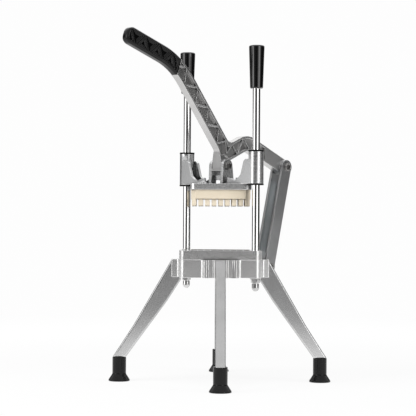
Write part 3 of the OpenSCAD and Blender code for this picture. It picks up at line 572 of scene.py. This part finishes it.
# legs and feet
leg = {
    "bearings": {"front_left": 225, "front_right": 315, "rear_left": 135, "rear_right": 45},
    "thickness": 14.4,
    "edge": 2.6,
    "outline": [
        # (out from the middle, up); radii holds the radius of each corner
        (70.2625, 151.9), (70.2625, 176.8), (73.2625, 171.6), (123.98, 83.05), (155.15, 35.0),
        (135.85, 35.0), (75.98, 116.95), (56.96, 147.0), (56.96, 151.9),
    ],
    "radii": [0, 0, 0, 60, 0, 0, 60, 2.5, 0],
    "arcSteps": 24,
    "ends": (4, 5),         # the points of the outline that reach into the foot
    "sunk": 0.4,            # and how far
    "fade": 3.0,            # run over which the rounding begins beside the pad
    "padReach": 0.5,        # the pad's side begins this far below the outline's first point
}
foot = {
    "reach": 145.5, "height": 35.0, "top": 10.0, "rim": 15.5, "rimHeight": 2.0, "flare": 8.4,
    "chamfer": (0.4, 0.5), "radii": [0.3, 0.3, 0.8, 3.5, 1.4], "arcSteps": 7,
}


def legParts(spec, bearing):
    # The outline carried across the leg's thickness, with a quarter round along both faces
    outline = np.array(spec["outline"])
    outline[list(spec["ends"]), 1] -= spec["sunk"]
    outline = roundCorners(outline, spec["radii"], spec["arcSteps"])
    padX, padZ = spec["outline"][0]

    def soft(places):
        # 0 where the leg lies against its pad, 1 elsewhere
        above = places[:, 1] > padZ - spec["padReach"]
        return np.where(above, ((places[:, 0] - padX) / spec["fade"]).clip(0, 1), 1)

    return [put(carry(outline, edgeProfile(spec["thickness"] / 2, spec["edge"]), soft), standing(bearing))]


def footParts(spec, bearing):
    # A turned piece: a low rim, a flared neck and the upright sleeve round the leg
    c, s = math.cos(math.radians(bearing)), math.sin(math.radians(bearing))
    inset, rise = spec["chamfer"]
    side = bead([(spec["rim"] - inset, 0), (spec["rim"], rise), (spec["rim"], spec["rimHeight"]),
                 (spec["top"], spec["rimHeight"] + spec["flare"]), (spec["top"], spec["height"])],
                spec["radii"], spec["arcSteps"])
    return [put(lathe(side, smoothTurn), at=(c * spec["reach"], s * spec["reach"], 0))]


for corner, bearing in leg["bearings"].items():
    makePiece(corner + "LegCasting", legParts(leg, bearing), "stand", "cast_legs", "castLegs",
              corner + "_leg")
    makePiece(corner + "Foot", footParts(foot, bearing), "stand", "foot_rubber", "rubber",
              corner + "_foot")
print("legs made")

# rod grips and the cap nuts under the base
rodGrip = {
    "x": 70.233, "low": 421.0, "high": 482.3, "lowWidth": 18.5, "highWidth": 22.2,
    "lowFlat": 1.2, "shoulder": 3.0, "crown": 5.0,      # flat end below, rounded shoulder and crown above
    "radii": [0, 1.6, 30, 2.2, 0], "arcSteps": 7,
}
capNut = {
    "flats": 11.8, "top": 150.3, "hex": 5.6, "dome": 10.6, "length": 17.5,
    "collar": 0.8, "radii": [0, 0.4, 0.4], "arcSteps": 4,
    "tip": 0.01, "domeSteps": 12, "turnSteps": 48,
}
fastenerSharp = 28          # degrees


def rodGripParts(spec, side):
    # A turned piece that widens upward, with its corners rounded
    low, high = spec["lowWidth"] / 2, spec["highWidth"] / 2
    outline = bead([(low - spec["lowFlat"], spec["low"]), (low, spec["low"]),
                    (high, spec["high"] - spec["shoulder"]), (high, spec["high"]),
                    (high - spec["crown"], spec["high"])], spec["radii"], spec["arcSteps"])
    return [put(lathe(outline, smoothTurn), at=(side * spec["x"], 0, 0))]


def capNutParts(spec, x):
    # The dome is r cos a, r sin a below a short neck
    r = spec["dome"] / 2
    a = np.linspace(0, math.pi / 2, spec["domeSteps"])
    neck = spec["length"] - r
    dome = np.stack([r * np.cos(a), neck + r * np.sin(a)], 1)
    dome[-1, 0] = spec["tip"]
    half = spec["flats"] / 2
    collar = bead([(half, 0), (half, spec["hex"]), (r, spec["hex"] + spec["collar"])], spec["radii"],
                  spec["arcSteps"])
    body = np.concatenate([collar[-3:], dome])
    top = (x, 0, spec["top"])
    return [put(hexNut(spec["flats"], spec["hex"]), downward, top),
            put(lathe(body, spec["turnSteps"]), downward, top)]


for side, word in ((-1, "left"), (1, "right")):
    makePiece(word + "RodGrip", rodGripParts(rodGrip, side), "stand", "grip_black", "blackGrip",
              word + "_rod_grip")
makePiece("capNuts", [part for side in (-1, 1) for part in capNutParts(capNut, side * rodGrip["x"])],
          "stand", "nut_chrome", "nutChrome", "rod_nuts", sharp=fastenerSharp)
print("rod ends made")

# the lever's grip: a rounded bar along the bend, with zigzag ribs over stepped pockets
leverGrip = {
    "bend": (-92.3122, 455.9605), "slope": 18.9, "start": -4.0, "end": 101.0,
    "half": 12.1, "thick": 6.7, "corner": 3.9, "nose": 10.5, "noseSide": 4.6, "heel": 1.8,
    "bendRadius": 105.0, "bendReach": 30.206,
    "ribFirst": 0.5, "ribStep": 13.75, "ribCount": 8, "ribReach": 10.3, "ribHalf": 0.8,
    "rim": 3.7, "heelRim": 3.0, "noseHalf": 1.6,
    "steps": [(0.0, 0.9), (1.7, 0.55), (3.2, 0.5)],     # (distance in from the ribs, how much deeper)
    "stepRun": 0.7,
    "along": 250, "acrossFace": 56,                     # grid of the bar and of its ribbed sides
    "heelSteps": 6, "noseSteps": 40, "cornerSteps": 7,
    "leastFlat": 0.05,                                  # straight part left between two round corners
}


def gripEdges(spec, a):
    # Upper and lower edge at the run a: circles round the bend's centre, then straight
    before = np.maximum(spec["bendReach"] - a, 0)
    radius, half = spec["bendRadius"], spec["half"]
    upper = radius - np.sqrt((radius + half) ** 2 - before ** 2)
    lower = radius - np.sqrt((radius - half) ** 2 - before ** 2)
    return upper, lower


def gripPocket(spec, a, b, middle, half):
    # Distance to the nearest rib or rim, then one smooth step down for each entry of steps
    runs = spec["ribFirst"] + spec["ribStep"] * np.arange(spec["ribCount"])
    upper, lower = gripEdges(spec, runs)
    sides = np.where(np.arange(spec["ribCount"]) % 2 == 0, 1, -1)
    nodes = np.stack([runs, (upper + lower) / 2 + sides * spec["ribReach"]], 1)
    nearest = np.minimum(half - spec["rim"] - np.abs(b - middle), a - spec["start"] - spec["heelRim"])
    beyond = a - spec["end"] + spec["nose"]
    tip = np.hypot(np.maximum(beyond, 0), np.maximum(np.abs(b) - spec["noseHalf"], 0))
    nearest = np.where(beyond < 0, nearest, np.minimum(nearest, spec["nose"] - spec["rim"] - tip))
    for first, second in zip(nodes[:-1], nodes[1:]):
        way = second - first
        share = (((a - first[0]) * way[0] + (b - first[1]) * way[1]) / (way @ way)).clip(0, 1)
        away = np.hypot(a - first[0] - share * way[0], b - first[1] - share * way[1])
        nearest = np.minimum(nearest, away - spec["ribHalf"])
    depth = np.zeros_like(nearest)
    for begin, drop in spec["steps"]:
        share = ((nearest - begin) / spec["stepRun"]).clip(0, 1)
        depth += drop * share * share * (3 - 2 * share)
    return depth


def leverGripParts(spec):
    # P(a, j) = the bend's middle line at the run a, plus the place j on a rounded rectangle across it
    nose = spec["end"] - spec["nose"]
    quarter = math.pi / 2
    a = np.concatenate([
        spec["start"] + spec["heel"] * (1 - np.cos(np.linspace(0, quarter, spec["heelSteps"])[:-1])),
        np.linspace(spec["start"] + spec["heel"], nose, spec["along"])[:-1],
        nose + spec["nose"] * np.sin(np.linspace(0, quarter, spec["noseSteps"]))])[:, None]
    upper, lower = gripEdges(spec, a)
    fromNose = np.sqrt(np.maximum(spec["nose"] ** 2 - np.maximum(a - nose, 0) ** 2, 0))
    side = spec["noseSide"]
    beside = np.sqrt(np.maximum(side ** 2 - np.maximum(a - spec["end"] + side, 0) ** 2, 0)) - side
    heel = np.sqrt(spec["heel"] ** 2 - np.maximum(spec["start"] + spec["heel"] - a, 0) ** 2) - spec["heel"]
    middle, half = (upper + lower) / 2, (lower - upper) / 2 + fromNose - spec["nose"] + heel
    thick = spec["thick"] + beside + heel
    corner = np.minimum(spec["corner"], np.minimum(half, thick) - spec["leastFlat"])
    # Ring of a rounded rectangle: p and q of its straight half widths, plus c and s of the corner radius
    turn = np.linspace(0, quarter, spec["cornerSteps"])
    flatRun = np.linspace(1, -1, spec["acrossFace"])[1:-1]
    ring = np.concatenate([
        np.stack([turn * 0 + 1, turn * 0 - 1, np.sin(turn), -np.cos(turn)], 1),
        np.stack([flatRun * 0 + 1, -flatRun, flatRun * 0 + 1, flatRun * 0], 1),
        np.stack([turn * 0 + 1, turn * 0 + 1, np.cos(turn), np.sin(turn)], 1),
        np.stack([turn * 0 - 1, turn * 0 + 1, -np.sin(turn), np.cos(turn)], 1),
        np.stack([flatRun * 0 - 1, flatRun, flatRun * 0 - 1, flatRun * 0], 1),
        np.stack([turn * 0 - 1, turn * 0 - 1, -np.cos(turn), -np.sin(turn)], 1)])
    p, q, c, s = ring.T[:, None, :]
    b = middle + q * (half - corner) + s * corner
    x = p * (thick - corner) + c * corner
    x = x - np.sign(x) * (np.abs(c) == 1) * gripPocket(spec, a + 0 * b, b, middle, half)
    slope = math.radians(180 - spec["slope"])
    y = spec["bend"][0] + math.cos(slope) * a - math.sin(slope) * b
    z = spec["bend"][1] + math.sin(slope) * a + math.cos(slope) * b
    return [closedSweep(np.stack([x, y, z], -1))]


makePiece("leverGrip", leverGripParts(leverGrip), "lever", "grip_black", "leverBlack", "lever_grip", sharp=60)
print("lever grip made")

# castings, with their corners rounded
casting = {
    # which edges of each casting are rounded
    "arm": 6.0, "armReach": 0.1,        # the lever: at the sides of its arm, this near to them
    "hub": 6.5,                         # and farther out than this, on the hub
    "outside": 50,                      # frame and base: past the throat
    "frameLow": 178, "frameHigh": 190,  # the frame: outward edges lower or higher than these
    "baseLow": 150,                     # the base: nothing lower than this
    "baseHigh": 177,                    # and inward edges only lower than this
    "sleeveHole": 8,                    # the head: nothing within this radius of a rod
}
pad = {
    # the base's leg pads: distances out along a pad and across it that bound its flanks
    "root": 58.6625, "tip": 70.2625, "inner": 21.0, "outer": 40.0,
    "reach": 0.02,
    "slim": 3.9,                        # how much slimmer a flank becomes at the root
}


def diagonals(x, y):
    # Distances along the two axes of the square castings, which stand at 45 degrees
    return np.stack([x + y, y - x], 1) / 2 ** 0.5


def farthest(middles):
    # The larger of the two distances
    return np.abs(diagonals(middles[:, 0], middles[:, 1])).max(1)


def onLever(middles, turns):
    thick = np.abs(middles[:, 0])
    return (np.abs(thick - casting["arm"]) < casting["armReach"]) | (thick > casting["hub"])


def onFrame(middles, turns):
    up = middles[:, 2]
    ends = (up > casting["frameHigh"]) | (up < casting["frameLow"])
    return (farthest(middles) > casting["outside"]) & (turns > 0) & ends


def onBase(middles, turns):
    up = middles[:, 2]
    outside = (farthest(middles) > casting["outside"]) & (up > casting["baseLow"])
    return outside & ((turns > 0) | (up < casting["baseHigh"]))


def onHead(middles, turns):
    fromRod = np.hypot(np.abs(middles[:, 0]) - rodGrip["x"], middles[:, 1])
    return (turns > 0) & (fromRod > casting["sleeveHole"])


def onLink(middles, turns):
    return turns > 0


def slimPads(places):
    # The flanks of the leg pads flare less: t' = t - sign(t) slim (tip - s) / (tip - root), for the
    # distance s out along the pad and t across it
    outs = diagonals(places[:, 0], places[:, 1])
    for along in (0, 1):
        s, t = np.abs(outs[:, along]), outs[:, 1 - along].copy()
        beside = (s > pad["root"] - pad["reach"]) & (np.abs(t) > pad["inner"]) & (np.abs(t) < pad["outer"])
        share = ((pad["tip"] - s) / (pad["tip"] - pad["root"])).clip(0, 1)
        outs[:, 1 - along] = t - np.sign(t) * pad["slim"] * share * beside
    x, y = (outs[:, 0] - outs[:, 1]) / 2 ** 0.5, (outs[:, 0] + outs[:, 1]) / 2 ** 0.5
    return np.stack([x, y, places[:, 2]], 1)


castings = {
    # piece: (node, body, slot, finish, rounding, which edges, what moves its corners first)
    "leverCasting": ("lever_arm", "lever", "cast_lever", "castLever", 0.5, onLever),
    "bladeFrame": ("blade_frame", "stand", "cast_frame", "castFrame", 1.3, onFrame),
    "baseCasting": ("base_casting", "stand", "cast_base", "castBase", 1.0, onBase, slimPads),
    "headCasting": ("head_casting", "press_head", "cast_head", "castHead", 0.9, onHead),
    "linkCasting": ("link_arm", "link", "cast_link", "castLink", 0.9, onLink),
}
# the lever's ribs meet so closely that its rounding is held back to almost nothing
for name, row in castings.items():
    softenNode(name, *row)
print("castings made")

# fasteners
pivots = {
    # name: (Y, Z, half of the span under the head, body, bolt node, nut node)
    "headPivot": (0, 312.4, 14.2, "press_head", "lever_pivot_bolt", "lever_pivot_nut"),
    "linkPivot": (130.5, 314.6, 11.5, "link", "link_upper_bolt", "link_upper_nut"),
    "basePivot": (94, 165.0, 11.5, "link", "link_lower_bolt", "link_lower_nut"),
}
pivotBolt = {
    "head": {"width": 12.6, "height": 3.6, "socket": 7.6, "depth": 2.4, "edge": 0.9},
    "radius": 4.0, "tip": 3.2, "past": 4.4, "taper": 0.6, "inHead": 0.5,
    "radii": [0, 0.2, 0], "turnSteps": 40,
    "nutFlats": 10.0, "nutHeight": 3.6,
}
legBolt = {"reach": 63.6125, "high": 143.8,
           "head": {"width": 6.0, "height": 2.0, "socket": 3.6, "depth": 1.2, "edge": 0.4}}
frameScrew = {"places": [(0, -73.03), (0, 73.03)], "low": 190.5,
              "head": {"width": 5.6, "height": 2.6, "socket": 2.2, "depth": 1.2, "edge": 1.2}}
blockScrew = {"places": [(34, 0), (-34, 0), (0, 34), (0, -34)], "low": 286.0,
              "head": {"width": 7.6, "height": 3.0, "socket": 4.0, "depth": 1.8, "edge": 1.1}}


def pivotBoltParts(spec, y, z, reach):
    # The head on the +X side and a turned shank that ends past the nut
    end = -reach - spec["past"]
    shank = bead([(spec["tip"], end), (spec["radius"], end + spec["taper"]),
                  (spec["radius"], reach + spec["inHead"])], spec["radii"])
    return [put(boltHead(spec["head"]), across, (reach, y, z)),
            put(lathe(shank, spec["turnSteps"]), across, (0, y, z))]


for name, (y, z, reach, body, bolt, nut) in pivots.items():
    makePiece(name + "Bolt", pivotBoltParts(pivotBolt, y, z, reach),
              body, "fastener_steel", "boltSteel", bolt, sharp=fastenerSharp)
    makePiece(name + "Nut", [put(hexNut(pivotBolt["nutFlats"], pivotBolt["nutHeight"]), backAcross,
                                 (-reach, y, z))],
              body, "fastener_steel", "boltSteel", nut, sharp=fastenerSharp)
corners = np.radians(sorted(leg["bearings"].values()))
makePiece("legBolts", [put(boltHead(legBolt["head"]), downward,
                           (legBolt["reach"] * math.cos(a), legBolt["reach"] * math.sin(a), legBolt["high"]))
                       for a in corners],
          "stand", "fastener_steel", "steel", "leg_bolts", sharp=fastenerSharp)
makePiece("frameScrews", [put(boltHead(frameScrew["head"]), at=(x, y, frameScrew["low"]))
                          for x, y in frameScrew["places"]],
          "stand", "nut_chrome", "nutChrome", "blade_frame_screws", sharp=fastenerSharp)
makePiece("blockScrews", [put(boltHead(blockScrew["head"]), at=(x, y, blockScrew["low"]))
                          for x, y in blockScrew["places"]],
          "press_head", "fastener_steel", "steel", "push_block_screws", sharp=fastenerSharp)
print("fasteners made")

# studio: pale floor, and softboxes as bands of the world that only shiny surfaces see
studio = {
    "floor": 6.0,           # half of its width
    "floorGrey": 0.08,
    "shadow": 0.11,         # how much less the floor glows near the machine, where it takes shadow
    "shadowRun": (0.35, 1.6),           # metres from the machine over which that ends
    "shine": 1.08,          # how bright the floor is in shiny surfaces
    "shineFades": (0.3, 1.2, 0.4),      # metres toward the camera, from and to, and by how much
    "paper": 0.985,         # the floor and the background, as the camera sees them
    "dim": 0.46,            # how much the world lights the matt surfaces
    "overhead": 0.9,        # brightness high up on the camera's side
    "beyond": 1.5,          # and of the white paper high up behind the machine
    "beyondRun": (-0.6, -0.1),          # where one becomes the other, toward the camera
    "boxTops": (0.32, 0.55),            # sine of the height where the softboxes end
    "boxes": [
        # (degrees round the machine from the camera, to the right; brightness)
        (-180, 1.0), (-160, 0.8), (-144, 0.08), (-92, 0.12), (-80, 1.5), (-67, 1.6), (-65, 3.6),
        (-55, 3.6), (-51, 0.8), (-34, 0.12), (0, 0.03), (14, 0.06), (22, 1.4), (35, 1.4), (38, 3.8),
        (45, 3.8), (49, 1.0), (60, 0.9), (68, 0.03), (134, 0.03), (152, 0.5), (179, 1.0),
    ],
    "lamps": {
        # name: (degrees from the camera, height, distance, size, watts)
        "keyLamp": (-62, 1.4, 2.2, 1.6, 46),
        "topLamp": (-20, 2.6, 0.7, 1.6, 38),
        "fillLamp": (60, 0.8, 2.4, 1.4, 36),
    },
    "lampsAim": 0.25,       # height that they point at
}


def makeWorld(spec):
    world = bpy.data.worlds.new("studio")
    bpy.context.scene.world = world
    world.use_nodes = True
    world.cycles.sampling_method = "NONE"       # so that shiny surfaces alone see the softboxes
    g = Graph(world.node_tree)
    seen, glossy, through = g.rays("Is Camera Ray", "Is Glossy Ray", "Is Transmission Ray")
    x, y, z = g.axes(g.out("TexCoord", {}, "Generated"))
    ahead = (camera["azimuth"] - 90) / 360 + 0.5
    angle = math.radians(camera["azimuth"])
    turn = y.math("ARCTAN2", x) * (0.5 / math.pi) + 0.5     # 0 to 1 round the machine
    stops = sorted(((ahead + bearing / 360) % 1, bright) for bearing, bright in spec["boxes"])
    first, last = stops[0][1], stops[-1][1]
    scale = max(bright for _, bright in stops)
    stops = [(at, bright / scale) for at, bright in [(0.0, first)] + stops + [(1.0, last)]]
    walls = g.out("ValToRGB", {"stops": stops}, "Color", turn)
    walls = g.out("VectorMath", {"operation": "SCALE"}, "Vector", walls, Scale=scale)
    toCamera = x * math.sin(angle) - y * math.cos(angle)
    high = g.tint(toCamera.between(*spec["beyondRun"]), grey(spec["beyond"]), grey(spec["overhead"]))
    boxes = g.tint(z.between(*spec["boxTops"]), walls, high)
    light = g.tint(glossy.math("MAXIMUM", through), grey(spec["dim"]), boxes)
    colour = g.tint(seen, light, grey(spec["paper"]))
    back = g.out("Background", {}, "Background", colour, 1.0)
    g.node("OutputWorld", {}, Surface=back)


def makeFloor(spec):
    mesh = bpy.data.meshes.new("floor")
    half = spec["floor"]
    mesh.from_pydata([(-half, -half, 0), (half, -half, 0), (half, half, 0), (-half, half, 0)], [],
                     [(0, 1, 2, 3)])
    floor = bpy.data.objects.new("floor", mesh)
    bpy.context.scene.collection.objects.link(floor)
    made, g = material("floorPaint")
    seen, glossy, through = g.rays("Is Camera Ray", "Is Glossy Ray", "Is Transmission Ray")
    reach = g.out("VectorMath", {"operation": "LENGTH"}, "Value", g.out("TexCoord", {}, "Object"))
    far = reach.between(*spec["shadowRun"])
    angle = math.radians(camera["azimuth"])
    x, y, _ = g.axes(g.out("TexCoord", {}, "Object"))
    ahead = x * math.sin(angle) - y * math.cos(angle)
    near, away, fade = spec["shineFades"]
    shine = glossy.math("MAXIMUM", through) * (1 - ahead.between(near, away) * fade) * spec["shine"]
    matt = g.out("BsdfDiffuse", {}, "BSDF", (*grey(spec["floorGrey"]), 1))
    glow = seen * (far * spec["shadow"] + (spec["paper"] - spec["shadow"])) + shine
    bare = g.out("Emission", {}, "Emission", (1, 1, 1, 1), glow)
    lit = g.out("AddShader", {}, "Shader", matt, bare)
    plain = g.out("Emission", {}, "Emission", (1, 1, 1, 1), seen * spec["paper"] + shine)
    g.node("OutputMaterial", {}, Surface=g.out("MixShader", {}, "Shader", far, lit, plain))
    mesh.materials.append(made)


def makeLamps(spec):
    for name, (turn, height, distance, size, watts) in spec["lamps"].items():
        data = bpy.data.lights.new(name, "AREA")
        data.shape = "DISK"
        data.size = size
        data.energy = watts
        lamp = bpy.data.objects.new(name, data)
        angle = math.radians(camera["azimuth"] + turn)
        place = Vector((math.sin(angle) * distance, -math.cos(angle) * distance, height))
        lamp.location = place
        lamp.rotation_mode = "QUATERNION"
        lamp.rotation_quaternion = (Vector((0, 0, spec["lampsAim"])) - place).to_track_quat("-Z", "Y")
        lamp.visible_glossy = False
        bpy.context.scene.collection.objects.link(lamp)


makeWorld(studio)
makeFloor(studio)
makeLamps(studio)
bpy.context.scene.view_settings.view_transform = "Standard"
print("studio made")
